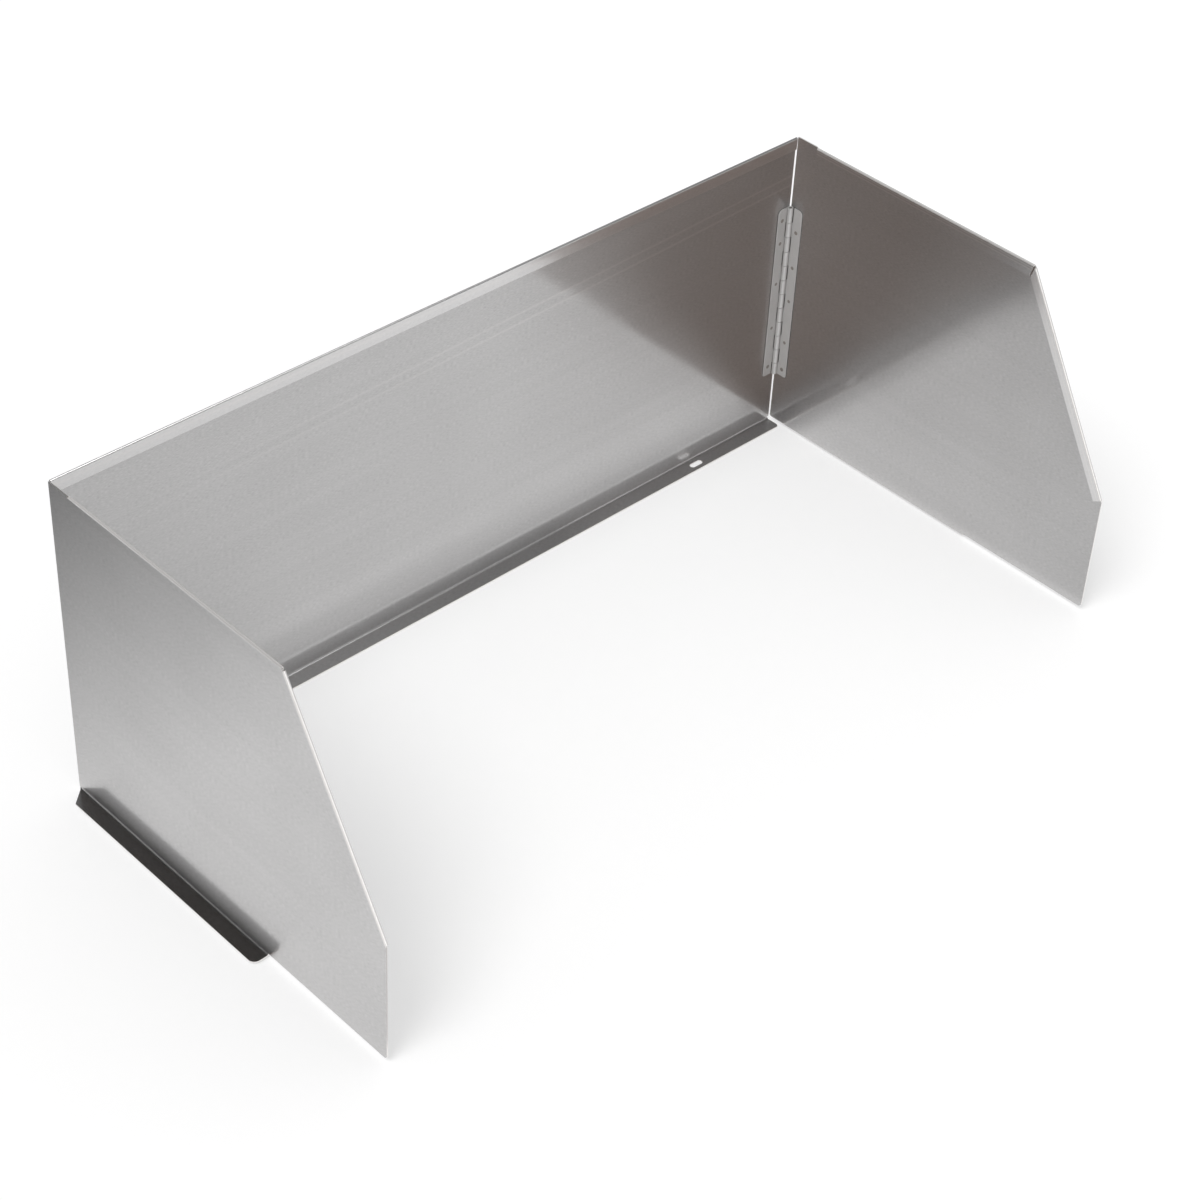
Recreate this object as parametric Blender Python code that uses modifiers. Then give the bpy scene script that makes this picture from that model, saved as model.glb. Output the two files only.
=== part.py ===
# Folding grill wind guard: a back panel and two side panels of brushed stainless sheet. Piano
# hinges on the inside of the two rear corners let the side panels fold flat against the back.
# Metres, +Z up. The open side faces -Y, and the origin is on the floor, at the middle of the
# footprint.
#
# A panel is made the way a sheet metal shop makes it: a flat blank is drawn with its tabs, slots
# and corner cuts, the tabs are folded about their bend lines, and the sheet gets its thickness.
# A blank is drawn in u (along the panel), v (up) and w (off the sheet, towards the grill).

import math

import bmesh
import bpy
from mathutils import Matrix, Vector

# Overall sizes
GUARD_WIDTH = 0.6604  # between the outer faces of the side panels
GUARD_DEPTH = 0.3175  # rear face of the back panel to the front edges
GUARD_HEIGHT = 0.254  # floor to the top folds
SLANT_RUN = 0.0889  # front edge of a side panel back to the upper end of its slanted edge
FRONT_EDGE_TOP = 0.1016  # floor to the lower end of the slanted edge

# Sheet, bends and hems
SHEET = 0.001
BEND_RADIUS = 0.0015  # inside radius of the flange bends
HEM_RADIUS = 0.00015  # inside radius of the closed hems
HEM_WIDTH = 0.010  # finished edge to the raw edge of the folded strip, on all three top edges
SLANT_HEM_WIDTH = 0.0074  # the same, along a side panel's slanted edge
HEM_SLIT = 0.0012  # between the two hems of a side panel, where they meet at the mitre
SIDE_HEM_SETBACK = 0.020  # plain rear end of a side panel's top edge
RELIEF_SLIT = 0.0008  # saw cut beside the rear end of that hem
CORNER_GAP = 0.001  # a panel's upright edge to the inner face of the panel beside it
FRONT_CORNER_RADIUS = 0.003  # lower front corner of a side panel

# Flange of the back panel, folded forwards
BACK_FLANGE_DEPTH = 0.014  # from the rear face
BACK_FLANGE_END_GAP = 0.0011  # the flange ends this much short of the panel's ends
BACK_FLANGE_CORNER_RADIUS = 0.003
SLOT_LENGTH = 0.012
SLOT_WIDTH = 0.0048
SLOT_FROM_SIDE = 0.090  # outer face of the side panel to the slot's middle
SLOT_FROM_EDGE = 0.006  # free edge of the flange to the slot's middle

# Flanges of the side panels, folded outwards
SIDE_FLANGE_DEPTH = 0.0127  # from the inner face
SIDE_FLANGE_SETBACK = 0.1145  # front edge of the panel back to the flange's front end
SIDE_FLANGE_CORNER_RADIUS = 0.005
FOLDING_CLEARANCE = 0.0005  # under a side panel, where it folds over the back flange

# Piano hinges
PIN_DIAMETER = 0.0023
PIN_CLEARANCE = 0.00015  # all round the pin, in its knuckles
PIN_END_INSET = 0.0004
PIN_CHAMFER = 0.0003
LEAF_SHEET = 0.0009
LEAF_WIDTH = 0.0108  # pin axis to the leaf's free edge
LEAF_TOP_RADIUS = 0.004
LEAF_BOTTOM_RADIUS = 0.0015
LEAF_SEAT_GAP = 0.0003  # between a leaf and the panel that it is welded to
HINGE_FROM_TOP = 0.058  # top folds to the upper end of the hinges
HINGE_FROM_FLOOR = 0.046  # floor to their lower end
KNUCKLE_PITCH = 0.0127
KNUCKLE_END_GAP = 0.0003  # between one knuckle and the next
SHORTEST_KNUCKLE = 0.003  # a shorter stub at the lower end stays on the knuckle above it
NOTCH_CLEARANCE = 0.00025  # between a leaf's notches and the knuckles that turn in them
CURL_OPENING = 0.00025  # between a knuckle's rolled tip and its own leaf

# Colour and roughness of the steel
PANEL_FINISH = ((0.56, 0.55, 0.54), 0.34)
LEAF_FINISH = ((0.62, 0.61, 0.60), 0.30)
PIN_FINISH = ((0.70, 0.69, 0.68), 0.22)

# How finely round shapes are faceted
BEND_STEPS = 10
HEM_STEPS = 12
CORNER_STEPS = 6
SLOT_END_STEPS = 12
KNUCKLE_STEPS = 30
PIN_SIDES = 32

# Sizes that follow from the ones above
KNUCKLE_RADIUS = PIN_DIAMETER / 2 + PIN_CLEARANCE + LEAF_SHEET
AXIS_FROM_FACE = SHEET + LEAF_SEAT_GAP + KNUCKLE_RADIUS  # outer face of a panel to a pin axis
SIDE_LIFT = SHEET + FOLDING_CLEARANCE  # floor to the underside of the side flanges
SIDE_TOP_LENGTH = GUARD_DEPTH - SLANT_RUN
SIDE_FLANGE_LENGTH = GUARD_DEPTH - SIDE_FLANGE_SETBACK
HINGE_TOP = GUARD_HEIGHT - HINGE_FROM_TOP
HINGE_LENGTH = HINGE_TOP - HINGE_FROM_FLOOR
REAR_Y = GUARD_DEPTH / 2
MERGE = 0.000001  # points nearer than this are one

guard = bpy.data.collections.new("grill_wind_guard")


def clear_scene():
    for thing in list(bpy.data.objects):
        bpy.data.objects.remove(thing, do_unlink=True)


def brushed_steel(name, finish):
    colour, roughness = finish
    material = bpy.data.materials.new(name)
    material.use_nodes = True
    shader = material.node_tree.nodes["Principled BSDF"]
    shader.inputs["Base Color"].default_value = (*colour, 1)
    shader.inputs["Metallic"].default_value = 1
    shader.inputs["Roughness"].default_value = roughness
    material.diffuse_color = (*colour, 1)
    return material


def applied(thing):
    # The mesh of a curve, or of an object with modifiers. The object itself is removed.
    bpy.context.view_layer.update()
    mesh = bpy.data.meshes.new_from_object(
        thing.evaluated_get(bpy.context.evaluated_depsgraph_get())
    )
    bpy.data.objects.remove(thing)
    return mesh


def shade_round(mesh):
    mesh.shade_smooth()
    mesh.set_sharp_from_angle(angle=math.radians(30))


def rounded(corners):
    # A corner is (u, v), or (u, v, radius) where it is rounded.
    points = []
    for index, corner in enumerate(corners):
        here = Vector(corner[:2])
        radius = corner[2] if len(corner) == 3 else 0
        if not radius:
            points.append(here)
            continue
        before = (Vector(corners[index - 1][:2]) - here).normalized()
        after = (Vector(corners[(index + 1) % len(corners)][:2]) - here).normalized()
        half = before.angle(after) / 2
        centre = here + (before + after).normalized() * (radius / math.sin(half))
        start = here + before * (radius / math.tan(half)) - centre
        turn = start.angle_signed(here + after * (radius / math.tan(half)) - centre)
        for step in range(CORNER_STEPS + 1):
            points.append(centre + Matrix.Rotation(-turn * step / CORNER_STEPS, 2) @ start)
    return points


def slot_outline(middle_u, middle_v):
    radius = SLOT_WIDTH / 2
    reach = SLOT_LENGTH / 2 - radius
    points = []
    for end in (1, -1):
        for step in range(SLOT_END_STEPS + 1):
            turn = math.pi * (step / SLOT_END_STEPS - 1 / 2)
            across = reach + radius * math.cos(turn)
            points.append(
                Vector((middle_u + end * across, middle_v + end * radius * math.sin(turn)))
            )
    return points


def outline_mesh(loops, thickness):
    # Fills closed outlines, holes included, and extrudes them evenly to both sides of w = 0.
    curve = bpy.data.curves.new("outline", "CURVE")
    curve.dimensions = "2D"
    curve.fill_mode = "BOTH"
    curve.extrude = thickness / 2
    for loop in loops:
        spline = curve.splines.new("POLY")
        spline.points.add(len(loop) - 1)
        spline.use_cyclic_u = True
        for point, place in zip(spline.points, loop):
            point.co = (place.x, place.y, 0, 1)
    drawn = bpy.data.objects.new("outline", curve)
    bpy.context.scene.collection.objects.link(drawn)
    mesh = applied(drawn)
    shape = bmesh.new()
    shape.from_mesh(mesh)
    bmesh.ops.remove_doubles(shape, verts=shape.verts, dist=MERGE)
    bmesh.ops.dissolve_limit(
        shape, angle_limit=math.radians(1), verts=shape.verts, edges=shape.edges
    )
    shape.to_mesh(mesh)
    shape.free()
    return mesh


class Fold:
    # A bend line of a flat blank. out points across the line, away from the wall, and span is
    # where the tab lies along the line, counted from start. side is +1 for a tab folded
    # towards the grill and -1 for one folded away from it.
    def __init__(self, start, out, span, side, angle, inside_radius, steps):
        self.start = Vector((*start, 0))
        self.out = Vector((*out, 0))
        self.along = Vector((-out[1], out[0], 0))
        self.span = span
        self.side = side
        self.angle = angle
        self.radius = inside_radius + SHEET / 2
        self.steps = steps

    def holds(self, place):
        offset = place - self.start
        first, last = self.span
        return (
            offset.dot(self.out) > -MERGE
            and first - MERGE < offset.dot(self.along) < last + MERGE
        )

    def cut(self, blank):
        # Scores the tab across, so that it has edges to bend at.
        for step in range(self.steps + 1):
            tab = blank.faces[:]
            if step:
                tab = [f for f in tab if all(self.holds(v.co) for v in f.verts)]
            parts = {part for face in tab for part in (face, *face.edges, *face.verts)}
            distance = self.radius * self.angle * step / self.steps
            bmesh.ops.bisect_plane(
                blank,
                geom=list(parts),
                plane_co=self.start + self.out * distance,
                plane_no=self.out,
                dist=MERGE,
            )

    def bend(self, blank):
        arc = self.radius * self.angle
        for vert in blank.verts:
            distance = (vert.co - self.start).dot(self.out)
            if vert.co.z or distance < MERGE or not self.holds(vert.co):
                continue
            turned = min(distance, arc) / self.radius
            straight = max(distance - arc, 0)
            across = self.radius * math.sin(turned) + straight * math.cos(turned)
            off = self.radius * (1 - math.cos(turned)) + straight * math.sin(turned)
            vert.co += self.out * (across - distance)
            vert.co.z += self.side * off


def flange_fold(start, out, span, side):
    return Fold(start, out, span, side, math.pi / 2, BEND_RADIUS, BEND_STEPS)


def hem_fold(start, out, span):
    return Fold(start, out, span, 1, math.pi, HEM_RADIUS, HEM_STEPS)


def tab_length(finished, inside_radius, angle):
    # Flat length from the bend line to the free edge of a tab whose finished size is measured
    # from the outside of the bend.
    return finished - inside_radius - SHEET + (inside_radius + SHEET / 2) * angle


def folded_sheet(loops, folds):
    mesh = outline_mesh(loops, 0)
    blank = bmesh.new()
    blank.from_mesh(mesh)
    for fold in folds:
        fold.cut(blank)
    for fold in folds:
        fold.bend(blank)
    blank.to_mesh(mesh)
    blank.free()
    sheet = bpy.data.objects.new("sheet", mesh)
    bpy.context.scene.collection.objects.link(sheet)
    solidify = sheet.modifiers.new("thickness", "SOLIDIFY")
    solidify.thickness = SHEET
    solidify.offset = 0
    solidify.use_even_offset = True
    panel = applied(sheet)
    shade_round(panel)
    return panel


def add_piece(name, mesh, placement, material, carrier=None):
    # placement turns the mesh's own axes into world axes. A piece that turns on a hinge is
    # parented to the empty on its axis, and has its origin there.
    origin = carrier.location if carrier else Vector()
    mesh = mesh.copy()
    mesh.name = name
    mesh.transform(Matrix.Translation(-origin) @ placement)
    if placement.determinant() < 0:
        mesh.flip_normals()
    mesh.materials.clear()
    mesh.materials.append(material)
    piece = bpy.data.objects.new(name, mesh)
    piece.parent = carrier
    guard.objects.link(piece)


def axes_matrix(u_axis, v_axis, w_axis, origin):
    columns = (Vector(u_axis), Vector(v_axis), Vector(w_axis), Vector(origin))
    return Matrix([[column[row] for column in columns] for row in range(3)] + [[0, 0, 0, 1]])


def make_back_panel(material):
    half = GUARD_WIDTH / 2 - SHEET - CORNER_GAP
    flange_half = half - BACK_FLANGE_END_GAP
    bend_v = SHEET + BEND_RADIUS
    hem_v = GUARD_HEIGHT - SHEET - HEM_RADIUS
    free_v = bend_v - tab_length(BACK_FLANGE_DEPTH, BEND_RADIUS, math.pi / 2)
    top_v = hem_v + tab_length(HEM_WIDTH, HEM_RADIUS, math.pi)
    outline = rounded(
        [
            (-half, bend_v),
            (-flange_half, bend_v),
            (-flange_half, free_v, BACK_FLANGE_CORNER_RADIUS),
            (flange_half, free_v, BACK_FLANGE_CORNER_RADIUS),
            (flange_half, bend_v),
            (half, bend_v),
            (half, top_v),
            (-half, top_v),
        ]
    )
    slot_u = GUARD_WIDTH / 2 - SLOT_FROM_SIDE
    slot_v = free_v + SLOT_FROM_EDGE
    loops = [outline, slot_outline(-slot_u, slot_v), slot_outline(slot_u, slot_v)]
    folds = [
        flange_fold((0, bend_v), (0, -1), (-half, half), 1),
        hem_fold((0, hem_v), (0, 1), (-half, half)),
    ]
    placement = axes_matrix((1, 0, 0), (0, 0, 1), (0, -1, 0), (0, REAR_Y - SHEET / 2, 0))
    add_piece("back_panel", folded_sheet(loops, folds), placement, material)


def side_panel_mesh():
    rear_u = SHEET + CORNER_GAP
    bend_v = SIDE_LIFT + SHEET + BEND_RADIUS
    hem_outside = SHEET + HEM_RADIUS
    hem_v = GUARD_HEIGHT - hem_outside
    top_tab = tab_length(HEM_WIDTH, HEM_RADIUS, math.pi)
    slant_tab = tab_length(SLANT_HEM_WIDTH, HEM_RADIUS, math.pi)
    flange_tab = tab_length(SIDE_FLANGE_DEPTH, BEND_RADIUS, math.pi / 2)

    # The finished slanted edge runs from upper to lower, and out points away from the panel.
    upper = Vector((SIDE_TOP_LENGTH, GUARD_HEIGHT))
    lower = Vector((GUARD_DEPTH, FRONT_EDGE_TOP))
    down = (lower - upper).normalized()
    out = Vector((-down.y, down.x))
    edge_length = (lower - upper).length
    corner = math.pi - down.angle(Vector((1, 0)))

    # The two hems are mitred: folded down, each stops at the line from the corner to the point
    # where their raw edges would meet, less half the slit.
    top_mitre = math.atan2(math.sin(corner), SLANT_HEM_WIDTH / HEM_WIDTH + math.cos(corner))
    slant_mitre = corner - top_mitre
    top_end = hem_outside / math.tan(top_mitre) + HEM_SLIT / 2 / math.sin(top_mitre)
    top_run = (HEM_WIDTH - hem_outside) / math.tan(top_mitre)
    slant_start = hem_outside / math.tan(slant_mitre) + HEM_SLIT / 2 / math.sin(slant_mitre)
    slant_run = (SLANT_HEM_WIDTH - hem_outside) / math.tan(slant_mitre)
    hem_arc = (HEM_RADIUS + SHEET / 2) * math.pi

    def on_slant(along, outwards):
        return tuple(upper + down * along + out * outwards)

    inner_corner = hem_outside / math.tan(corner / 2)
    top_end_u = SIDE_TOP_LENGTH - top_end
    front_meets_hem = lower.y - hem_outside / out.y
    hem_rear = rear_u + SIDE_HEM_SETBACK
    outline = rounded(
        [
            (rear_u, bend_v),
            (rear_u + SIDE_FLANGE_DEPTH - SHEET, bend_v - flange_tab),
            (SIDE_FLANGE_LENGTH, bend_v - flange_tab, SIDE_FLANGE_CORNER_RADIUS),
            (SIDE_FLANGE_LENGTH, bend_v),
            (GUARD_DEPTH, bend_v, FRONT_CORNER_RADIUS),
            (GUARD_DEPTH, front_meets_hem),
            on_slant(edge_length, -hem_outside),
            on_slant(edge_length, slant_tab - hem_outside),
            on_slant(slant_start + slant_run, slant_tab - hem_outside),
            on_slant(slant_start, hem_arc - hem_outside),
            on_slant(slant_start, -hem_outside),
            on_slant(inner_corner, -hem_outside),
            (top_end_u, hem_v),
            (top_end_u, hem_v + hem_arc),
            (top_end_u - top_run, hem_v + top_tab),
            (hem_rear, hem_v + top_tab),
            (hem_rear, hem_v),
            (hem_rear - RELIEF_SLIT, hem_v),
            (hem_rear - RELIEF_SLIT, GUARD_HEIGHT),
            (rear_u, GUARD_HEIGHT),
        ]
    )
    folds = [
        flange_fold((0, bend_v), (0, -1), (0, SIDE_FLANGE_LENGTH), -1),
        hem_fold((0, hem_v), (0, 1), (-top_end_u, -hem_rear)),
        hem_fold(on_slant(0, -hem_outside), tuple(out), (-edge_length, -slant_start)),
    ]
    return folded_sheet([outline], folds)


def leaf_section():
    # Seen along the pin: a runs from the pin axis along the panel and b towards the panel. The
    # leaf's back is on b = KNUCKLE_RADIUS, and its end is rolled round the pin.
    bore = KNUCKLE_RADIUS - LEAF_SHEET
    tip = math.asin((bore - CURL_OPENING) / KNUCKLE_RADIUS)
    sweep = math.pi * 3 / 2 + tip
    angles = [math.pi / 2 + sweep * step / KNUCKLE_STEPS for step in range(KNUCKLE_STEPS + 1)]
    section = [Vector((LEAF_WIDTH, KNUCKLE_RADIUS))]
    section += [Vector((math.cos(turn), math.sin(turn))) * KNUCKLE_RADIUS for turn in angles]
    section += [Vector((math.cos(turn), math.sin(turn))) * bore for turn in reversed(angles)]
    section.append(Vector((LEAF_WIDTH, bore)))
    return section


def knuckle_ends():
    # The knuckles are counted from the top. The last is what is left of the length.
    ends = []
    upper = 0
    while upper > -HINGE_LENGTH:
        lower = upper - KNUCKLE_PITCH
        if lower < SHORTEST_KNUCKLE - HINGE_LENGTH:
            lower = -HINGE_LENGTH
        ends.append((upper, lower))
        upper = lower
    return ends


def comb_outline(first_knuckle):
    # The flat leaf from the front, in a and height. Between its own knuckles it is cut back
    # clear of the other leaf's knuckles.
    root = KNUCKLE_RADIUS + NOTCH_CLEARANCE
    nose = -root
    gap = KNUCKLE_END_GAP / 2
    corners = [
        (LEAF_WIDTH, -HINGE_LENGTH, LEAF_BOTTOM_RADIUS),
        (LEAF_WIDTH, 0, LEAF_TOP_RADIUS),
    ]
    ends = knuckle_ends()
    if first_knuckle:
        corners.append((root, 0))
    for upper, lower in ends[first_knuckle::2]:
        top = upper if upper == 0 else upper - gap
        bottom = lower if lower == ends[-1][1] else lower + gap
        if top != 0:
            corners.append((root, top))
        corners += [(nose, top), (nose, bottom)]
        if bottom != ends[-1][1]:
            corners.append((root, bottom))
    if corners[-1][1] != ends[-1][1]:
        corners.append((root, ends[-1][1]))
    return rounded(corners)


def leaf_mesh(first_knuckle):
    # A rolled section as long as the hinge, cut to the shape of the comb.
    rolled = bpy.data.objects.new("rolled", outline_mesh([leaf_section()], HINGE_LENGTH))
    rolled.data.transform(Matrix.Translation((0, 0, -HINGE_LENGTH / 2)))
    comb = bpy.data.objects.new("comb", outline_mesh([comb_outline(first_knuckle)], LEAF_WIDTH))
    comb.data.transform(axes_matrix((1, 0, 0), (0, 0, 1), (0, -1, 0), (0, 0, 0)))
    for thing in (rolled, comb):
        bpy.context.scene.collection.objects.link(thing)
    cut = rolled.modifiers.new("comb", "BOOLEAN")
    cut.operation = "INTERSECT"
    cut.solver = "EXACT"
    cut.object = comb
    leaf = applied(rolled)
    bpy.data.objects.remove(comb)
    shade_round(leaf)
    return leaf


def pin_mesh():
    length = HINGE_LENGTH - 2 * PIN_END_INSET
    bpy.ops.mesh.primitive_cylinder_add(
        vertices=PIN_SIDES, radius=PIN_DIAMETER / 2, depth=length, location=(0, 0, 0)
    )
    turned = bpy.context.object
    bevel = turned.modifiers.new("spun ends", "BEVEL")
    bevel.width = PIN_CHAMFER
    bevel.segments = 2
    bevel.limit_method = "ANGLE"
    pin = applied(turned)
    pin.transform(Matrix.Translation((0, 0, -HINGE_LENGTH / 2)))
    shade_round(pin)
    return pin


def main():
    clear_scene()
    bpy.context.scene.collection.children.link(guard)
    make_back_panel(brushed_steel("back_panel_steel", PANEL_FINISH))
    side_mesh = side_panel_mesh()
    back_leaf_mesh = leaf_mesh(0)
    side_leaf_mesh = leaf_mesh(1)
    pin = pin_mesh()
    for side, outwards in (("left", -1), ("right", 1)):
        axis = Vector((outwards * (GUARD_WIDTH / 2 - AXIS_FROM_FACE), REAR_Y - AXIS_FROM_FACE, 0))
        carrier = bpy.data.objects.new(f"{side}_fold_axis", None)
        carrier.location = axis
        carrier.empty_display_size = AXIS_FROM_FACE
        guard.objects.link(carrier)

        wall_x = outwards * (GUARD_WIDTH - SHEET) / 2
        placement = axes_matrix((0, -1, 0), (0, 0, 1), (-outwards, 0, 0), (wall_x, REAR_Y, 0))
        steel = brushed_steel(f"{side}_side_panel_steel", PANEL_FINISH)
        add_piece(f"{side}_side_panel", side_mesh, placement, steel, carrier)

        hinge_top = axis + Vector((0, 0, HINGE_TOP))
        along_back = axes_matrix((-outwards, 0, 0), (0, 1, 0), (0, 0, 1), hinge_top)
        along_side = axes_matrix((0, -1, 0), (outwards, 0, 0), (0, 0, 1), hinge_top)
        steel = brushed_steel(f"{side}_hinge_back_leaf_steel", LEAF_FINISH)
        add_piece(f"{side}_hinge_back_leaf", back_leaf_mesh, along_back, steel)
        steel = brushed_steel(f"{side}_hinge_side_leaf_steel", LEAF_FINISH)
        add_piece(f"{side}_hinge_side_leaf", side_leaf_mesh, along_side, steel, carrier)
        steel = brushed_steel(f"{side}_hinge_pin_steel", PIN_FINISH)
        add_piece(f"{side}_hinge_pin", pin, Matrix.Translation(hinge_top), steel)


main()
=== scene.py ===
# The looks of a folding wind guard for a camp grill: three panels of brushed stainless sheet
# with pressed hems and folded flanges, on two piano hinges. Metres, the open side faces -Y.
import math

import bmesh
import bpy
from mathutils import Matrix, Vector


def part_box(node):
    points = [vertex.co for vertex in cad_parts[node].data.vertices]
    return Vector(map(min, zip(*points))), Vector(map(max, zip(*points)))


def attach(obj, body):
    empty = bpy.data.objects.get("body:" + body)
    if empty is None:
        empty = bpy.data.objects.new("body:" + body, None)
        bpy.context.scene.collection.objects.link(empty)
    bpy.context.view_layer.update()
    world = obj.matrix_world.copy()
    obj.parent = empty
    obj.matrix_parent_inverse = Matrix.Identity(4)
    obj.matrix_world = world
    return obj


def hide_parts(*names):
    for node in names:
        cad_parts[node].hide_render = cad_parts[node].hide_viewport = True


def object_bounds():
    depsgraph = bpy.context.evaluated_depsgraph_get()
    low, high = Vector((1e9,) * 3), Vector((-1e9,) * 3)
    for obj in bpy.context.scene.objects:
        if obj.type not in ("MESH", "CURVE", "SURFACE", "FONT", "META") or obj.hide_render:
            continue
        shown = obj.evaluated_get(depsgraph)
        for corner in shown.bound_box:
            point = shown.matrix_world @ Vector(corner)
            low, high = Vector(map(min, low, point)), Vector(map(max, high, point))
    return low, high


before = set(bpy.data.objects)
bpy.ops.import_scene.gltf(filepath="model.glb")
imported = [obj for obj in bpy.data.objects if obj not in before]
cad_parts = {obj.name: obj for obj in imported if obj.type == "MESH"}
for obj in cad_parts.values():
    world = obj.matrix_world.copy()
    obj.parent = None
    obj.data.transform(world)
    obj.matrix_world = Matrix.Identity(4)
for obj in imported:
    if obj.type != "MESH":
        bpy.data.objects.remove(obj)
cadLow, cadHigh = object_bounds()
print("frame loaded")

# small helpers

white = (1, 1, 1, 1)


def linearColour(hexCode):
    channels = [int(hexCode[i:i + 2], 16) / 255 for i in (1, 3, 5)]
    return [c / 12.92 if c <= 0.04045 else ((c + 0.055) / 1.055) ** 2.4 for c in channels] + [1]


def addNode(tree, kind, settings=None, inputs=None):
    # inputs holds fixed values, or sockets of other nodes to link from
    node = tree.nodes.new(kind)
    for name, value in (settings or {}).items():
        setattr(node, name, value)
    for key, value in (inputs or {}).items():
        if isinstance(value, bpy.types.NodeSocket):
            tree.links.new(value, node.inputs[key])
        else:
            node.inputs[key].default_value = value
    return node


def emptyMaterial(name):
    material = bpy.data.materials.new(name)
    material.use_nodes = True
    material.node_tree.nodes.clear()
    return material, material.node_tree


def newObject(name, mesh):
    thing = bpy.data.objects.new(name, mesh)
    bpy.context.scene.collection.objects.link(thing)
    return thing


def bakeModifiers(thing):
    # the object keeps its name and gets the evaluated mesh, without modifiers
    bpy.context.view_layer.update()
    mesh = bpy.data.meshes.new_from_object(
        thing.evaluated_get(bpy.context.evaluated_depsgraph_get())
    )
    thing.modifiers.clear()
    if thing.type == "MESH":
        thing.data = mesh
    return mesh


# the camera stands in front of the left end and looks down into the guard

cameraSetup = {
    "place": (-1.0220, -0.9971, 1.2481),
    "azimuth": -45.42,
    "elevation": 39.17,
    "roll": 3.28,
    "lens": 81.5,
    "sensor": 36,
    "clipStart": 0.01,
}


def makeCamera(s):
    camera = bpy.data.cameras.new("productCamera")
    camera.lens = s["lens"]
    camera.sensor_width = s["sensor"]
    camera.clip_start = s["clipStart"]
    view = newObject("productCamera", camera)
    azimuth, elevation = math.radians(s["azimuth"]), math.radians(s["elevation"])
    back = Vector(
        (
            math.sin(azimuth) * math.cos(elevation),
            -math.cos(azimuth) * math.cos(elevation),
            math.sin(elevation),
        )
    )
    turn = back.to_track_quat("Z", "Y").to_matrix().to_4x4()
    turn = turn @ Matrix.Rotation(math.radians(s["roll"]), 4, "Z")
    view.matrix_world = Matrix.Translation(s["place"]) @ turn
    bpy.context.scene.camera = view


makeCamera(cameraSetup)
print("camera placed")

# brushed stainless sheet, the three panels

brushedSheet = {
    "hex": "#E0DFDF",
    "grainHex": "#C3C2C2",
    "coreRoughness": 0.11,  # the flats between the scratches, nearly a mirror
    "wideRoughness": 0.42,  # the scratches themselves
    "coreShare": 0.36,
    "roughnessSpread": 0.025,
    "anisotropy": 0.75,
    # mm along the sheet, mm across it, and detail
    "grain": (3.0, 0.5, 3.0),  # real scratches are finer, drawn coarse enough to show
    "streak": (260.0, 5.0, 4.0),  # passes of the brushing belt
    "smudge": (60.0, 60.0, 2.0),  # handling marks
    "streakShare": 0.18,
    "tintRange": 0.3,  # from the middle of the grain to its lightest and darkest
    "glossGrainShare": 0.6,  # the grain changes the gloss less than the smudges do
    "glossRange": (0.6, 1.2),  # of grain and smudges together, from smooth to rough
    "grainDepth": 0.004,  # mm
    "creaseHighlightHex": "#F2F0EE",  # painted highlight along the crease marks
    "creaseHighlightShare": 0.8,
}
# the hems were pressed flat between smooth dies, which closed the scratches a little
pressedHem = {
    **brushedSheet,
    "hex": "#F0EFEF",
    "grainHex": "#E0DFDF",
    "coreRoughness": 0.12,
    "wideRoughness": 0.30,
}


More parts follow.
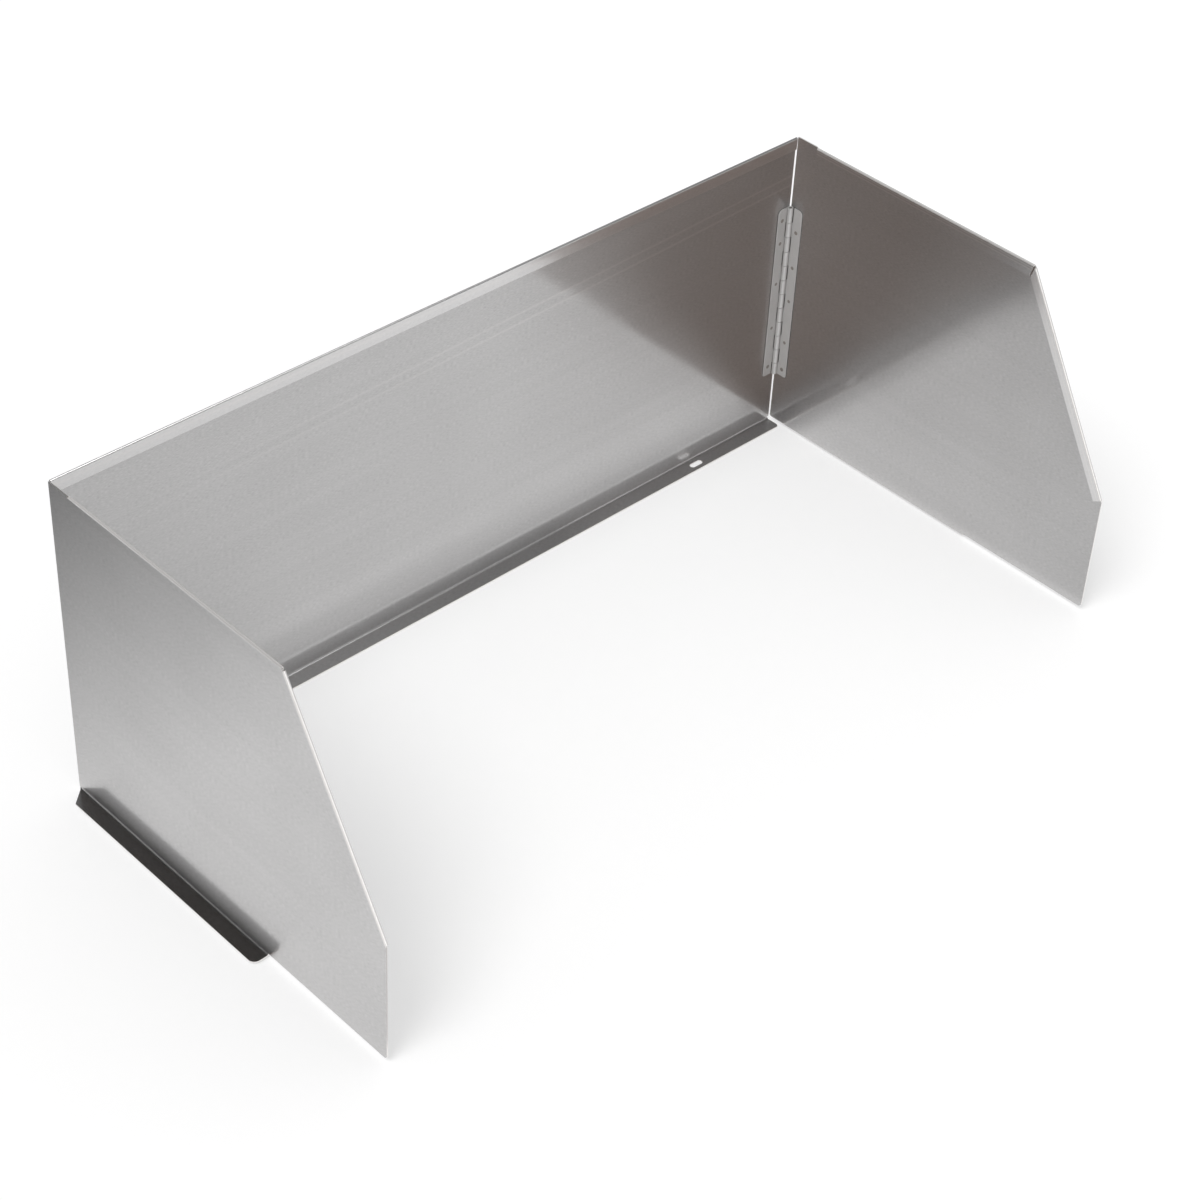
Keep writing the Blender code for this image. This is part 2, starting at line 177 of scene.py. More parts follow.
def makeSheetSteel(name, s):
    # cold-rolled 304 stainless with a belt-brushed finish: scratches run along the sheet, so
    # reflections smear up and down and stay narrow sideways
    material, tree = emptyMaterial(name)
    sheetUv = addNode(tree, "ShaderNodeUVMap", {"uv_map": "flatSheet"})

    def sheetNoise(along, across, detail):
        stretched = addNode(
            tree,
            "ShaderNodeMapping",
            None,
            {"Vector": sheetUv.outputs["UV"], "Scale": (1000 / along, 1000 / across, 1)},
        )
        return addNode(
            tree,
            "ShaderNodeTexNoise",
            {"noise_dimensions": "2D"},
            {"Vector": stretched.outputs["Vector"], "Scale": 1.0, "Detail": detail},
        ).outputs["Fac"]

    grain, streak, smudge = [sheetNoise(*s[key]) for key in ("grain", "streak", "smudge")]
    mixed = addNode(
        tree,
        "ShaderNodeMath",
        {"operation": "MULTIPLY_ADD"},
        {0: streak, 1: s["streakShare"], 2: grain},
    ).outputs["Value"]
    middle = (1 + s["streakShare"]) / 2
    share = addNode(
        tree,
        "ShaderNodeMapRange",
        {"clamp": True},
        {
            "Value": mixed,
            "From Min": middle - s["tintRange"],
            "From Max": middle + s["tintRange"],
        },
    ).outputs["Result"]
    tint = addNode(
        tree,
        "ShaderNodeMix",
        {"data_type": "RGBA"},
        {"Factor": share, "A": linearColour(s["grainHex"]), "B": linearColour(s["hex"])},
    ).outputs["Result"]
    # painted highlight: the tint turns lighter along the creases, as much as the points say
    burnish = addNode(tree, "ShaderNodeAttribute", {"attribute_name": "burnish"})
    highlighted = addNode(
        tree,
        "ShaderNodeMath",
        {"operation": "MULTIPLY"},
        {0: burnish.outputs["Fac"], 1: s["creaseHighlightShare"]},
    ).outputs["Value"]
    tint = addNode(
        tree,
        "ShaderNodeMix",
        {"data_type": "RGBA"},
        {"Factor": highlighted, "A": tint, "B": linearColour(s["creaseHighlightHex"])},
    ).outputs["Result"]
    clouded = addNode(
        tree,
        "ShaderNodeMath",
        {"operation": "MULTIPLY_ADD"},
        {0: mixed, 1: s["glossGrainShare"], 2: smudge},
    ).outputs["Value"]
    bump = addNode(
        tree,
        "ShaderNodeBump",
        None,
        {"Strength": 1.0, "Distance": s["grainDepth"] / 1000, "Height": grain},
    )
    tangent = addNode(
        tree, "ShaderNodeTangent", {"direction_type": "UV_MAP", "uv_map": "flatSheet"}
    )
    gloss = []
    glossLow, glossHigh = s["glossRange"]
    for roughness in (s["coreRoughness"], s["wideRoughness"]):
        varied = addNode(
            tree,
            "ShaderNodeMapRange",
            {"clamp": True},
            {
                "Value": clouded,
                "From Min": glossLow,
                "From Max": glossHigh,
                "To Min": roughness - s["roughnessSpread"],
                "To Max": roughness + s["roughnessSpread"],
            },
        ).outputs["Result"]
        gloss.append(
            addNode(
                tree,
                "ShaderNodeBsdfPrincipled",
                None,
                {
                    "Base Color": tint,
                    "Metallic": 1.0,
                    "Roughness": varied,
                    "Anisotropic": s["anisotropy"],
                    "Anisotropic Rotation": 0.25,  # a quarter turn, across the scratches
                    "Normal": bump.outputs["Normal"],
                    "Tangent": tangent.outputs["Tangent"],
                },
            ).outputs["BSDF"]
        )
    both = addNode(
        tree, "ShaderNodeMixShader", None, {0: 1 - s["coreShare"], 1: gloss[0], 2: gloss[1]}
    )
    addNode(tree, "ShaderNodeOutputMaterial", None, {"Surface": both.outputs[0]})
    return material


plainSteels = {
    # strip rolled to a matt finish, which scatters half of the light
    "leaf": {"hex": "#DCDBDA", "roughness": 0.50, "metallic": 0.50},
    # polished where it was curled round the pin
    "knuckle": {"hex": "#F0EFEE", "roughness": 0.27, "metallic": 1.0},
    # the sawn ends of the knuckles, dull, and painted dark for the shade in the gaps between
    # them
    "cut": {"hex": "#4C4845", "roughness": 0.55, "metallic": 1.0},
    # drawn wire, painted dark grey for the shade it lies in between the knuckles
    "pin": {"hex": "#8F8B87", "roughness": 0.32, "metallic": 1.0},
    # tarnished by the heat of the weld
    "weld": {"hex": "#A8A29C", "roughness": 0.45, "metallic": 0.6},
    # a sheared edge, bright and a little rough
    "edge": {"hex": "#ECEAE8", "roughness": 0.38, "metallic": 1.0},
    # the outside of the side panels' hems, closed hard, painted pale and half diffuse
    # as a highlight along the crest
    "crest": {"hex": "#EEECEA", "roughness": 0.22, "metallic": 0.50},
}
mottle = {
    "size": 3.0,  # mm, faint clouding of cold-rolled strip
    "detail": 3.0,
    "depth": 0.003,  # mm
    "spread": 0.06,  # of the roughness, to both sides
}


def makePlainSteel(name, s):
    # plain cold-rolled or drawn stainless: no grain to see, only a faint clouding in the gloss
    material, tree = emptyMaterial(name)
    place = addNode(tree, "ShaderNodeTexCoord")
    cloud = addNode(
        tree,
        "ShaderNodeTexNoise",
        None,
        {
            "Vector": place.outputs["Object"],
            "Scale": 1000 / mottle["size"],
            "Detail": mottle["detail"],
        },
    ).outputs["Fac"]
    gloss = addNode(
        tree,
        "ShaderNodeMapRange",
        {"clamp": True},
        {
            "Value": cloud,
            "To Min": s["roughness"] - mottle["spread"],
            "To Max": s["roughness"] + mottle["spread"],
        },
    ).outputs["Result"]
    bump = addNode(
        tree,
        "ShaderNodeBump",
        None,
        {"Strength": 1.0, "Distance": mottle["depth"] / 1000, "Height": cloud},
    )
    shader = addNode(
        tree,
        "ShaderNodeBsdfPrincipled",
        None,
        {
            "Base Color": linearColour(s["hex"]),
            "Metallic": s["metallic"],
            "Roughness": gloss,
            "Normal": bump.outputs["Normal"],
        },
    )
    addNode(tree, "ShaderNodeOutputMaterial", None, {"Surface": shader.outputs["BSDF"]})
    return material


sheetSteel = makeSheetSteel("belt brushed stainless sheet", brushedSheet)
hemSteel = makeSheetSteel("pressed hem of stainless sheet", pressedHem)
edgeSteel = makePlainSteel("sheared stainless edge", plainSteels["edge"])
crestHighlightSteel = makePlainSteel("stretched crest of a hem", plainSteels["crest"])
leafSteel = makePlainSteel("cold rolled stainless strip", plainSteels["leaf"])
knuckleSteel = makePlainSteel("curled stainless strip", plainSteels["knuckle"])
knuckleEndShadeSteel = makePlainSteel("sawn knuckle end, dull", plainSteels["cut"])
shadedPinSteel = makePlainSteel("drawn stainless wire", plainSteels["pin"])
weldSteel = makePlainSteel("spot welded stainless", plainSteels["weld"])
print("steel mixed")

# sheet metal, drawn flat and folded, as on the press brake

sheet = {
    "thickness": 0.001,
    "bendRadius": 0.0015,  # inside
    "hemRadius": 0.00015,  # inside
    "hemWidth": 0.010,
    "hemAngle": 181.6,  # degrees, the raw edge is pressed onto the wall
    "edgeBreak": 0.00015,  # rounding of sheared edges
    "breakAngle": 60,  # degrees, edges sharper than this are rounded
    "grid": 0.011,  # spacing of the lines that let the wall bow
    "weld": 0.00003,  # lines that cross nearer than this meet in one point
    "bowHeight": 0.00015,  # from the middle of the larger wave to its crest
    "bowLength": 0.21,
    # of each slow wave: share, turns along, turns up, how far the shift moves it, and start
    "bowWaves": ((1.0, 0.8, 0.5, 1.0, 0.0), (0.7, 0.45, -1.1, 2.1, 1.0)),
    "bowMargin": 0.05,  # bends hold the sheet flat this near an edge
    "flangeSteps": 12,
    "hemSteps": 14,
    "cornerSteps": 10,
    "slotSteps": 16,
}
merge = 0.000001  # points nearer than this are one
flatAngle = math.radians(1)  # faces flatter to each other than this are one
edgeSteps = 2  # facets across a broken edge
finishes = (sheetSteel, hemSteel, edgeSteel, crestHighlightSteel)
plainFinish, hemFinish, edgeFinish, crestHighlightFinish = range(len(finishes))


def rounded(corners):
    # a corner is (u, v), or (u, v, radius) where it is rounded
    points = []
    for index, corner in enumerate(corners):
        here = Vector(corner[:2])
        radius = corner[2] if len(corner) == 3 else 0
        if not radius:
            points.append(here)
            continue
        before = (Vector(corners[index - 1][:2]) - here).normalized()
        after = (Vector(corners[(index + 1) % len(corners)][:2]) - here).normalized()
        half = before.angle(after) / 2
        centre = here + (before + after).normalized() * (radius / math.sin(half))
        start = here + before * (radius / math.tan(half)) - centre
        turn = start.angle_signed(here + after * (radius / math.tan(half)) - centre)
        for step in range(sheet["cornerSteps"] + 1):
            part = -turn * step / sheet["cornerSteps"]
            points.append(centre + Matrix.Rotation(part, 2) @ start)
    return points


def slotOutline(middleU, middleV, length, width):
    radius = width / 2
    reach = length / 2 - radius
    points = []
    for end in (1, -1):
        for step in range(sheet["slotSteps"] + 1):
            turn = math.pi * (step / sheet["slotSteps"] - 1 / 2)
            across = reach + radius * math.cos(turn)
            points.append(
                Vector((middleU + end * across, middleV + end * radius * math.sin(turn)))
            )
    return points


def filledFaces(loops):
    # one outline is one face, and an outline with holes is filled as a curve
    if len(loops) == 1:
        return [loops[0]]
    curve = bpy.data.curves.new("region", "CURVE")
    curve.dimensions = "2D"
    curve.fill_mode = "BOTH"
    for loop in loops:
        spline = curve.splines.new("POLY")
        spline.points.add(len(loop) - 1)
        spline.use_cyclic_u = True
        for point, place in zip(spline.points, loop):
            point.co = (place.x, place.y, 0, 1)
    drawn = newObject("region", curve)
    filled = bmesh.new()
    filled.from_mesh(bakeModifiers(drawn))
    bpy.data.objects.remove(drawn)
    bmesh.ops.remove_doubles(filled, verts=filled.verts, dist=merge)
    bmesh.ops.dissolve_degenerate(filled, dist=merge, edges=filled.edges)
    bmesh.ops.dissolve_limit(filled, angle_limit=flatAngle, verts=[], edges=filled.edges)
    faces = [[vert.co.xy for vert in face.verts] for face in filled.faces]
    filled.free()
    return faces


def addRegion(blank, loops, number):
    region = blank.faces.layers.int["region"]
    for outline in filledFaces(loops):
        face = blank.faces.new([blank.verts.new((*place, 0)) for place in outline])
        face[region] = number
        face.normal_update()
        if face.normal.z < 0:
            face.normal_flip()


def foldLine(tab, start, out, side, angle, radius, steps, bendFinish, finish):
    # tab is the outline of what folds, start a point of the bend line, and out points across
    # the line, away from the wall
    return {
        "bendFinish": bendFinish,
        "finish": finish,
        "tab": tab,
        "start": Vector((*start, 0)),
        "out": Vector((*out, 0)),
        "side": side,
        "angle": angle,
        "radius": radius + sheet["thickness"] / 2,
        "steps": steps,
    }


def flangeFold(tab, start, out, side):
    steps, radius = sheet["flangeSteps"], sheet["bendRadius"]
    return foldLine(
        tab, start, out, side, math.pi / 2, radius, steps, plainFinish, plainFinish
    )


def hemFold(tab, start, out, bendFinish, finish):
    angle = math.radians(sheet["hemAngle"])
    steps, radius = sheet["hemSteps"], sheet["hemRadius"]
    return foldLine(tab, start, out, 1, angle, radius, steps, bendFinish, finish)


def scoreRegion(blank, number, place, normal):
    region = blank.faces.layers.int["region"]
    faces = [face for face in blank.faces if face[region] == number]
    parts = {part for face in faces for part in (face, *face.edges, *face.verts)}
    bmesh.ops.bisect_plane(
        blank, geom=list(parts), plane_co=place, plane_no=normal, dist=merge
    )


def bendTab(blank, number, fold):
    region = blank.faces.layers.int["region"]
    arc = fold["radius"] * fold["angle"]
    for vert in {v for face in blank.faces if face[region] == number for v in face.verts}:
        distance = (vert.co - fold["start"]).dot(fold["out"])
        turned = min(distance, arc) / fold["radius"]
        straight = max(distance - arc, 0)
        if distance < merge:
            continue
        across = fold["radius"] * math.sin(turned) + straight * math.cos(turned)
        off = fold["radius"] * (1 - math.cos(turned)) + straight * math.sin(turned)
        vert.co += fold["out"] * (across - distance)
        vert.co.z += fold["side"] * off


def tabLength(finished, radius, angle):
    # flat length from the bend line to the free edge of a tab, whose finished size is taken
    # from the outside of the bend
    thickness = sheet["thickness"]
    return finished - radius - thickness + (radius + thickness / 2) * angle


def smoothStep(value):
    value = min(max(value, 0), 1)
    return value * value * (3 - 2 * value)


def bowOffset(place, low, high, shift):
    # slow waves towards the grill, and none near the edges
    edge = min(place.x - low.x, high.x - place.x, place.y - low.y, high.y - place.y)
    turn = 2 * math.pi / sheet["bowLength"]
    bow = 0
    for share, along, up, shiftShare, start in sheet["bowWaves"]:
        phase = turn * (place.x * along + place.y * up) + shiftShare * shift + start
        bow += share * (1 + math.sin(phase))
    return sheet["bowHeight"] * bow * smoothStep(edge / sheet["bowMargin"])


def crease(number, start, out, highlight, s):
    # a mark of the folding beam in the given region of the blank, through start, with a painted
    # highlight along it, as strong as the given amounts say at the left and right ends
    return {
        "highlight": highlight,
        "number": number,
        "start": Vector((*start, 0)),
        "out": Vector((*out, 0)),
        "halfWidth": s["creaseHalfWidth"],
        "height": s["creaseHeight"],
    }


def hemCrease(number, fold, below, s):
    # below is the mark's distance from the finished edge, on the folded strip
    arc = fold["radius"] * fold["angle"]
    flat = arc + below - sheet["thickness"] - sheet["hemRadius"]
    place = (fold["start"] + fold["out"] * flat).xy
    return crease(number, place, fold["out"].xy, s["hemHighlight"], s)


def cutBlank(wall, folds, creases, low, high):
    # the flat sheet, scored where it bows, bends or is marked
    blank = bmesh.new()
    blank.faces.layers.int.new("region")
    addRegion(blank, [wall], 0)
    for number, fold in enumerate(folds, 1):
        addRegion(blank, fold["tab"], number)
    bmesh.ops.remove_doubles(blank, verts=blank.verts, dist=merge)
    for axis in (Vector((1, 0, 0)), Vector((0, 1, 0))):
        start, end = low.to_3d().dot(axis), high.to_3d().dot(axis)
        count = math.ceil((end - start) / sheet["grid"])
        for line in range(1, count):
            scoreRegion(blank, 0, axis * (start + (end - start) * line / count), axis)
    for mark in creases:
        for offset in (-mark["halfWidth"], 0, mark["halfWidth"]):
            place = mark["start"] + mark["out"] * offset
            scoreRegion(blank, mark["number"], place, mark["out"])
    bmesh.ops.remove_doubles(blank, verts=blank.verts, dist=sheet["weld"])
    for number, fold in enumerate(folds, 1):
        for step in range(1, fold["steps"] + 1):
            reach = fold["radius"] * fold["angle"] * step / fold["steps"]
            scoreRegion(blank, number, fold["start"] + fold["out"] * reach, fold["out"])
    return blank


def chooseFinishes(blank, folds):
    # the grain follows the flat sheet, and each fold brings its own finish
    region = blank.faces.layers.int["region"]
    flat = blank.loops.layers.uv.new("flatSheet")
    for face in blank.faces:
        for loop in face.loops:
            loop[flat].uv = loop.vert.co.xy
        face.material_index = plainFinish
        if face[region]:
            fold = folds[face[region] - 1]
            distance = (face.calc_center_median() - fold["start"]).dot(fold["out"])
            inBend = distance < fold["radius"] * fold["angle"]
            face.material_index = fold["bendFinish" if inBend else "finish"]


def bowAndMark(blank, creases, low, high, shift):
    region = blank.faces.layers.int["region"]
    # each point near a crease stores how much painted highlight the tint gets there
    burnish = blank.verts.layers.float.new("burnish")
    for vert in blank.verts:
        regions = {face[region] for face in vert.link_faces}
        place = vert.co.copy()
        if regions == {0}:
            vert.co.z = bowOffset(place.xy, low, high, shift)
        for mark in creases:
            distance = abs((place - mark["start"]).dot(mark["out"]))
            near = max(0, 1 - distance / mark["halfWidth"])
            if near and regions == {mark["number"]}:
                along = (place.x - low.x) / (high.x - low.x)
                leftHighlight, rightHighlight = mark["highlight"]
                vert.co.z += mark["height"] * near
                vert[burnish] = near * (leftHighlight + (rightHighlight - leftHighlight) * along)


def sheetPiece(name, wall, folds, creases, placement, shift):
    low = Vector((min(place.x for place in wall), min(place.y for place in wall)))
    high = Vector((max(place.x for place in wall), max(place.y for place in wall)))
    blank = cutBlank(wall, folds, creases, low, high)
    chooseFinishes(blank, folds)
    bowAndMark(blank, creases, low, high, shift)
    for number, fold in enumerate(folds, 1):
        bendTab(blank, number, fold)
    blank.transform(placement)
    mesh = bpy.data.meshes.new(name)
    blank.to_mesh(mesh)
    blank.free()
    piece = newObject(name, mesh)
    solidify = piece.modifiers.new("thickness", "SOLIDIFY")
    solidify.thickness = sheet["thickness"]
    solidify.offset = 0
    solidify.use_even_offset = True
    solidify.material_offset_rim = edgeFinish
    for finish in finishes:
        piece.data.materials.append(finish)
    finishEdges(piece, sheet["edgeBreak"], sheet["breakAngle"], edgeFinish)
    return piece


def finishEdges(piece, width, angle, finish=-1):
    # a finish of -1 gives a broken edge the material of the faces beside it
    bevel = piece.modifiers.new("broken edges", "BEVEL")
    bevel.material = finish
    bevel.width = width
    bevel.segments = edgeSteps
    bevel.limit_method = "ANGLE"
    bevel.angle_limit = math.radians(angle)
    even = piece.modifiers.new("even shading", "WEIGHTED_NORMAL")
    even.keep_sharp = True
    for face in piece.data.polygons:
        face.use_smooth = True
    bakeModifiers(piece)


def axesMatrix(uAxis, vAxis, wAxis, origin):
    columns = (Vector(uAxis), Vector(vAxis), Vector(wAxis), Vector(origin))
    return Matrix([[column[row] for column in columns] for row in range(3)] + [[0, 0, 0, 1]])


backPanel = {
    "endGap": 0.0011,  # the flange ends short of the panel's ends
    "flangeCorner": 0.003,
    "slotLength": 0.012,
    "slotWidth": 0.0048,
    "slotFromEnd": 0.088,  # end of the panel to the slot's middle
    "slotFromEdge": 0.006,
    "reach": 0.0002,  # the sheet ends nearer to the side panels than the plain solid does
    "creases": (0.042, 0.050),  # below the top, marks of the folding beam
    "creaseRise": 0.010,  # they stand higher at the right end than in the middle
    "hemCrease": 0.0042,
    "creaseHalfWidth": 0.0014,
    "creaseHeight": 0.00004,
    "wallHighlight": (0.06, 0.60),  # painted highlight on the creases, at the left and right end
    # painted highlight along the hem crease, at the left and right end
    "hemHighlight": (0.5, 0.5),
    "bowShift": 0.4,  # moves the waves of the bow, so that no two panels bow alike
}


def makeBackPanel(s):
    low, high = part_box("back_panel")
    thickness, bend = sheet["thickness"], sheet["bendRadius"]
    cadHalf = (high[0] - low[0]) / 2
    half = cadHalf + s["reach"]
    height = high[2] - low[2]
    flangeDepth = high[1] - low[1]
    flangeHalf = cadHalf - s["endGap"]
    bendV = thickness + bend
    hemV = height - thickness - sheet["hemRadius"]
    freeV = bendV - tabLength(flangeDepth, bend, math.pi / 2)
    topV = hemV + tabLength(sheet["hemWidth"], sheet["hemRadius"], math.pi)
    wall = rounded(
        [
            (-half, bendV),
            (-flangeHalf, bendV),
            (flangeHalf, bendV),
            (half, bendV),
            (half, hemV),
            (-half, hemV),
        ]
    )
    flange = rounded(
        [
            (-flangeHalf, bendV),
            (-flangeHalf, freeV, s["flangeCorner"]),
            (flangeHalf, freeV, s["flangeCorner"]),
            (flangeHalf, bendV),
        ]
    )
    slots = [
        slotOutline(
            side * (cadHalf - s["slotFromEnd"]),
            freeV + s["slotFromEdge"],
            s["slotLength"],
            s["slotWidth"],
        )
        for side in (-1, 1)
    ]
    hem = rounded([(-half, hemV), (half, hemV), (half, topV), (-half, topV)])
    folds = [
        flangeFold([flange] + slots, (0, bendV), (0, -1), 1),
        hemFold([hem], (0, hemV), (0, 1), hemFinish, hemFinish),
    ]
    across = Vector((-s["creaseRise"], half)).normalized()
    creases = [
        crease(0, (0, height - below), across, s["wallHighlight"], s) for below in s["creases"]
    ]
    creases.append(hemCrease(2, folds[1], s["hemCrease"], s))
    placement = axesMatrix((1, 0, 0), (0, 0, 1), (0, -1, 0), (0, high[1] - thickness / 2, 0))
    piece = sheetPiece("backPanelSheet", wall, folds, creases, placement, s["bowShift"])
    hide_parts("back_panel")
    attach(piece, "back")


sidePanel = {
    "rearGap": 0.002,  # rear face of the back panel to the side panel's rear edge
    "reach": 0.0002,  # the sheet ends nearer to the back panel than the plain solid does
    "topLength": 0.2286,  # rear face of the back panel to where the slant starts
    "frontTop": 0.1016,  # floor to where the slant ends
    "flangeEnd": 0.203,  # rear face of the back panel to the flange's front end
    "flangeCorner": 0.005,
    "frontCorner": 0.003,
    "hemSetback": 0.020,
    "relief": 0.0008,
    "mitreSlit": 0.0012,
    "slantHemWidth": 0.0074,
    "creasesBelow": (0.0025, 0.0045),  # the folding beam's marks along the top hem
    "slantCreaseBelow": 0.0036,  # and along the slanted one
    "creaseHalfWidth": 0.0008,
    "creaseHeight": 0.00004,
    # painted highlight along the hem creases, at the left and right end
    "hemHighlight": (0.9, 0.9),
    "bowShift": {"left": 1.3, "right": 2.9},
}


def makeSidePanel(s, hand, outwards):
    low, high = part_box(f"{hand}_side_panel")
    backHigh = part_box("back_panel")[1]
    thickness, bend = sheet["thickness"], sheet["bendRadius"]
    rearY = backHigh[1]
    depth = rearY - low[1]
    top = high[2]
    rearU = s["rearGap"] - s["reach"]
    bendV = low[2] + thickness + bend
    outerX = outwards * (backHigh[0] + s["rearGap"])
    flangeDepth = max(abs(low[0]), abs(high[0])) - abs(outerX) + thickness
    hemOutside = thickness + sheet["hemRadius"]
    hemV = top - hemOutside
    topTab = tabLength(sheet["hemWidth"], sheet["hemRadius"], math.pi)
    slantTab = tabLength(s["slantHemWidth"], sheet["hemRadius"], math.pi)
    flangeTab = tabLength(flangeDepth, bend, math.pi / 2)
    upper, lower = Vector((s["topLength"], top)), Vector((depth, s["frontTop"]))
    down = (lower - upper).normalized()
    out = Vector((-down.y, down.x))
    edgeLength = (lower - upper).length
    corner = math.pi - down.angle(Vector((1, 0)))
    widths = s["slantHemWidth"] / sheet["hemWidth"]
    topMitre = math.atan2(math.sin(corner), widths + math.cos(corner))
    slantMitre = corner - topMitre
    halfSlit = s["mitreSlit"] / 2
    topEnd = hemOutside / math.tan(topMitre) + halfSlit / math.sin(topMitre)
    topRun = (sheet["hemWidth"] - hemOutside) / math.tan(topMitre)
    slantStart = hemOutside / math.tan(slantMitre) + halfSlit / math.sin(slantMitre)
    slantRun = (s["slantHemWidth"] - hemOutside) / math.tan(slantMitre)
    mitreArc = (sheet["hemRadius"] + thickness / 2) * math.pi
    hemRear = s["rearGap"] + s["hemSetback"]

    def onSlant(along, outwardsBy):
        return tuple(upper + down * along + out * outwardsBy)

    topEndU = s["topLength"] - topEnd
    wall = rounded(
        [
            (rearU, bendV),
            (s["flangeEnd"], bendV),
            (depth, bendV, s["frontCorner"]),
            (depth, lower.y - hemOutside / out.y),
            onSlant(edgeLength, -hemOutside),
            onSlant(slantStart, -hemOutside),
            onSlant(hemOutside / math.tan(corner / 2), -hemOutside),
            (topEndU, hemV),
            (hemRear, hemV),
            (hemRear - s["relief"], hemV),
            (hemRear - s["relief"], top),
            (rearU, top),
        ]
    )
    flange = rounded(
        [
            (rearU, bendV),
            (s["rearGap"] + flangeDepth - thickness, bendV - flangeTab),
            (s["flangeEnd"], bendV - flangeTab, s["flangeCorner"]),
            (s["flangeEnd"], bendV),
        ]
    )
    topHem = rounded(
        [
            (topEndU, hemV),
            (topEndU, hemV + mitreArc),
            (topEndU - topRun, hemV + topTab),
            (hemRear, hemV + topTab),
            (hemRear, hemV),
        ]
    )
    slantHem = rounded(
        [
            onSlant(edgeLength, -hemOutside),
            onSlant(edgeLength, slantTab - hemOutside),
            onSlant(slantStart + slantRun, slantTab - hemOutside),
            onSlant(slantStart, mitreArc - hemOutside),
            onSlant(slantStart, -hemOutside),
        ]
    )
    folds = [
        flangeFold([flange], (0, bendV), (0, -1), -1),
        # the bends of the side panels' hems carry the painted highlight
        hemFold([topHem], (0, hemV), (0, 1), crestHighlightFinish, plainFinish),
        hemFold([slantHem], onSlant(0, -hemOutside), tuple(out), crestHighlightFinish, hemFinish),
    ]
    creases = [hemCrease(2, folds[1], below, s) for below in s["creasesBelow"]]
    creases.append(hemCrease(3, folds[2], s["slantCreaseBelow"], s))
    placement = axesMatrix(
        (0, -1, 0), (0, 0, 1), (-outwards, 0, 0), (outerX - outwards * thickness / 2, rearY, 0)
    )
    name, shift = f"{hand}SidePanelSheet", s["bowShift"][hand]
    piece = sheetPiece(name, wall, folds, creases, placement, shift)
    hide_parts(f"{hand}_side_panel")
    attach(piece, f"{hand}_side")


makeBackPanel(backPanel)
makeSidePanel(sidePanel, "left", -1)
makeSidePanel(sidePanel, "right", 1)
print("panels folded")

# piano hinges: the rolled leaves and the pins get broken edges and even shading

hinge = {
    "edgeBreak": 0.0002,
    "breakAngle": 50,  # degrees
    "knuckleRadius": 0.0023,
}


def finishedCopy(name, node, body, materials, axis, s):
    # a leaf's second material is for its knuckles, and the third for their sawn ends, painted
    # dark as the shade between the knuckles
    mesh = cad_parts[node].data.copy()
    shape = bmesh.new()
    shape.from_mesh(mesh)
    bmesh.ops.remove_doubles(shape, verts=shape.verts, dist=merge)
    bmesh.ops.dissolve_limit(
        shape, angle_limit=flatAngle, verts=shape.verts, edges=shape.edges
    )
    for face in shape.faces:
        middle = face.calc_center_median().xy
        sawnEnd = abs(face.normal.z) > 0.5
        if len(materials) > 1 and (middle - axis).length < s["knuckleRadius"]:
            face.material_index = 2 if sawnEnd else 1
    shape.to_mesh(mesh)
    shape.free()
    mesh.materials.clear()
    for material in materials:
        mesh.materials.append(material)
    piece = newObject(name, mesh)
    finishEdges(piece, s["edgeBreak"], s["breakAngle"])
    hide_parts(node)
    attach(piece, body)


for hand in ("left", "right"):
    pinLow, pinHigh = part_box(f"{hand}_hinge_pin")
    axis = (Vector(pinLow[:2]) + Vector(pinHigh[:2])) / 2
    leaves = (("BackLeaf", "back_leaf", "back"), ("SideLeaf", "side_leaf", f"{hand}_side"))
    for name, node, body in leaves:
        pieceName, nodeName = f"{hand}Hinge{name}", f"{hand}_hinge_{node}"
        steels = (leafSteel, knuckleSteel, knuckleEndShadeSteel)
        finishedCopy(pieceName, nodeName, body, steels, axis, hinge)
    pinNode = f"{hand}_hinge_pin"
    steels = (shadedPinSteel,)
    finishedCopy(f"{hand}HingePin", pinNode, "back", steels, axis, hinge)
print("hinges finished")

# spot welds hold the leaves to the panels: round marks, each dished with a low rim

weldMarks = {
    "backLeaf": (0.010, 0.030, 0.066, 0.106, 0.142),  # below the upper end of the hinge
    "sideLeaf": (0.020, 0.051, 0.081, 0.119, 0.144),
    "fromAxis": 0.0065,
    "leafSheet": 0.0009,  # thickness of a leaf
    "radius": 0.0015,
    "rim": 0.00005,  # before the ball's curve takes a quarter off it
    "dish": 0.2,  # height of a mark's middle, as a share of the rim's
    "spread": 0.12,  # of the size, to both sides
    "seed": 7,
    "segments": 20,
    "rings": 12,
}


def groupInput(tree, name, kind, value):
    socket = tree.interface.new_socket(name, in_out="INPUT", socket_type=kind)
    if value is not None:
        socket.default_value = value
    return socket.identifier


